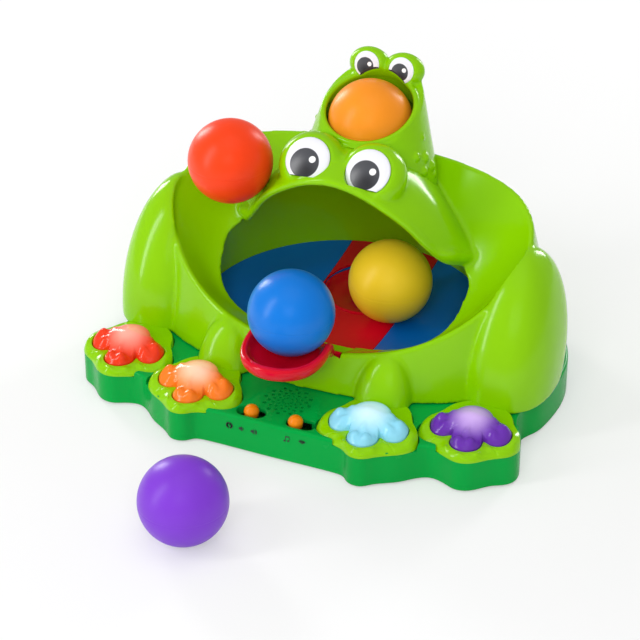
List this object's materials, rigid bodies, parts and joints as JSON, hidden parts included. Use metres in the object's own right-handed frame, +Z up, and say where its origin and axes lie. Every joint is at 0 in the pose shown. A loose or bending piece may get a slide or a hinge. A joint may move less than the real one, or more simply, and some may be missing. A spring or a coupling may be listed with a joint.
{
  "type": "ball popper toy",
  "caption": "Frog-shaped ball popper toy: funnel body with a wide mouth, tongue lever, baby frog outlet, lit foot buttons, slide switches, blower and loose play balls.",
  "frame": {"origin": "on the surface the toy stands on, at the middle of the base footprint, on the centre pad of the tray", "axes": "+Z up, -Y the way the frog faces, +X to the viewer's right when looking at its face"},
  "size_m": [0.329, 0.3999, 0.2187],
  "materials": {
    "body_green": "moulded light green plastic, glossy with a faint orange peel",
    "base_green": "moulded dark green plastic, glossy",
    "dish_blue": "moulded blue plastic, glossy",
    "tongue_red": "moulded red plastic, glossy",
    "eye_white": "white plastic with a printed dark pupil",
    "button_red": "tinted lit plastic",
    "button_orange": "tinted lit plastic",
    "button_light_blue": "tinted lit plastic",
    "button_purple": "tinted lit plastic",
    "led_lens": "clear moulded lens",
    "knob_orange": "moulded orange plastic",
    "black_plastic": "black moulded plastic",
    "fan_grey": "grey moulded plastic",
    "steel": "plated steel",
    "cell_wrap": "printed metal can",
    "board": "coated board",
    "rubber": "matt rubber",
    "ball_orange": "satin blown plastic",
    "ball_red": "satin blown plastic",
    "ball_blue": "satin blown plastic",
    "ball_yellow": "satin blown plastic",
    "ball_purple": "satin blown plastic"
  },
  "bodies": {
    "frame": {"base_tray": "base_green", "base_deck": "base_green", "body_shell": "body_green", "baby_frog_shell": "body_green", "mouth_liner": "body_green", "mouth_dish": "dish_blue", "throat_strip": "tongue_red", "launch_cup": "tongue_red", "air_grille": "tongue_red", "ball_tube": "body_green", "tongue_pin": "steel", "tongue_spring": "steel", "eye_left": "eye_white", "eye_right": "eye_white", "baby_eye_left": "eye_white", "baby_eye_right": "eye_white", "foot_bezel_red": "body_green", "button_switch_red": "black_plastic", "button_led_red": "led_lens", "foot_bezel_orange": "body_green", "button_switch_orange": "black_plastic", "button_led_orange": "led_lens", "foot_bezel_light_blue": "body_green", "button_switch_light_blue": "black_plastic", "button_led_light_blue": "led_lens", "foot_bezel_purple": "body_green", "button_switch_purple": "black_plastic", "button_led_purple": "led_lens", "speaker": "black_plastic", "circuit_board": "board", "blower_housing": "black_plastic", "blower_motor": "steel", "battery_box": "black_plastic", "battery_1": "cell_wrap", "battery_2": "cell_wrap", "battery_3": "cell_wrap", "battery_4": "cell_wrap", "base_screw_1": "steel", "base_screw_2": "steel", "base_screw_3": "steel", "base_screw_4": "steel", "rubber_foot_1": "rubber", "rubber_foot_2": "rubber", "rubber_foot_3": "rubber", "rubber_foot_4": "rubber"},
    "tongue": {"tongue": "tongue_red"},
    "button_red": {"foot_button_red": "button_red"},
    "button_orange": {"foot_button_orange": "button_orange"},
    "button_light_blue": {"foot_button_light_blue": "button_light_blue"},
    "button_purple": {"foot_button_purple": "button_purple"},
    "volume_slider": {"volume_knob": "knob_orange"},
    "mode_slider": {"mode_knob": "knob_orange"},
    "fan": {"fan_impeller": "fan_grey"},
    "door": {"battery_door": "base_green"},
    "ball_orange": {"ball_orange": "ball_orange"},
    "ball_red": {"ball_red": "ball_red"},
    "ball_blue": {"ball_blue": "ball_blue"},
    "ball_yellow": {"ball_yellow": "ball_yellow"},
    "ball_purple": {"ball_purple": "ball_purple"}
  },
  "joints": [
    {"name": "tongue_hinge", "type": "hinge", "parent": "frame", "child": "tongue", "pos_m": [0, -0.0655, 0.0494], "axis": [1, 0, 0], "range_deg": [0, 12], "stiffness_Nm_per_rad": 0.6, "springref_deg": -6.88},
    {"name": "press_red", "type": "slide", "parent": "frame", "child": "button_red", "axis": [0, 0, -1], "range_m": [0, 0.0025], "stiffness_N_per_m": 900, "springref_m": -0.0012},
    {"name": "press_orange", "type": "slide", "parent": "frame", "child": "button_orange", "axis": [0, 0, -1], "range_m": [0, 0.0025], "stiffness_N_per_m": 900, "springref_m": -0.0012},
    {"name": "press_light_blue", "type": "slide", "parent": "frame", "child": "button_light_blue", "axis": [0, 0, -1], "range_m": [0, 0.0025], "stiffness_N_per_m": 900, "springref_m": -0.0012},
    {"name": "press_purple", "type": "slide", "parent": "frame", "child": "button_purple", "axis": [0, 0, -1], "range_m": [0, 0.0025], "stiffness_N_per_m": 900, "springref_m": -0.0012},
    {"name": "volume_slide", "type": "slide", "parent": "frame", "child": "volume_slider", "axis": [1, 0, 0], "range_m": [-0.0048, 0.0048]},
    {"name": "mode_slide", "type": "slide", "parent": "frame", "child": "mode_slider", "axis": [1, 0, 0], "range_m": [0, 0.0075]},
    {"name": "fan_spin", "type": "hinge", "parent": "frame", "child": "fan", "pos_m": [0, -0.0325, 0.012], "axis": [0, 0, 1], "continuous": true},
    {"name": "door_lift_off", "type": "slide", "parent": "frame", "child": "door", "axis": [0, 0, -1], "range_m": [0, 0.02]},
    {"name": "lift_orange", "type": "slide", "parent": "frame", "child": "ball_orange", "axis": [0, 0, 1], "range_m": [-0.04, 0.008]},
    {"name": "lift_red", "type": "slide", "parent": "frame", "child": "ball_red", "axis": [0, 0, 1], "range_m": [0, 0.08]},
    {"name": "lift_blue", "type": "slide", "parent": "frame", "child": "ball_blue", "axis": [0, 0, 1], "range_m": [0, 0.08]},
    {"name": "lift_yellow", "type": "slide", "parent": "frame", "child": "ball_yellow", "axis": [0, 0, 1], "range_m": [0, 0.02]},
    {"name": "lift_purple", "type": "slide", "parent": "frame", "child": "ball_purple", "axis": [0, 0, 1], "range_m": [0, 0.08]}
  ]
}
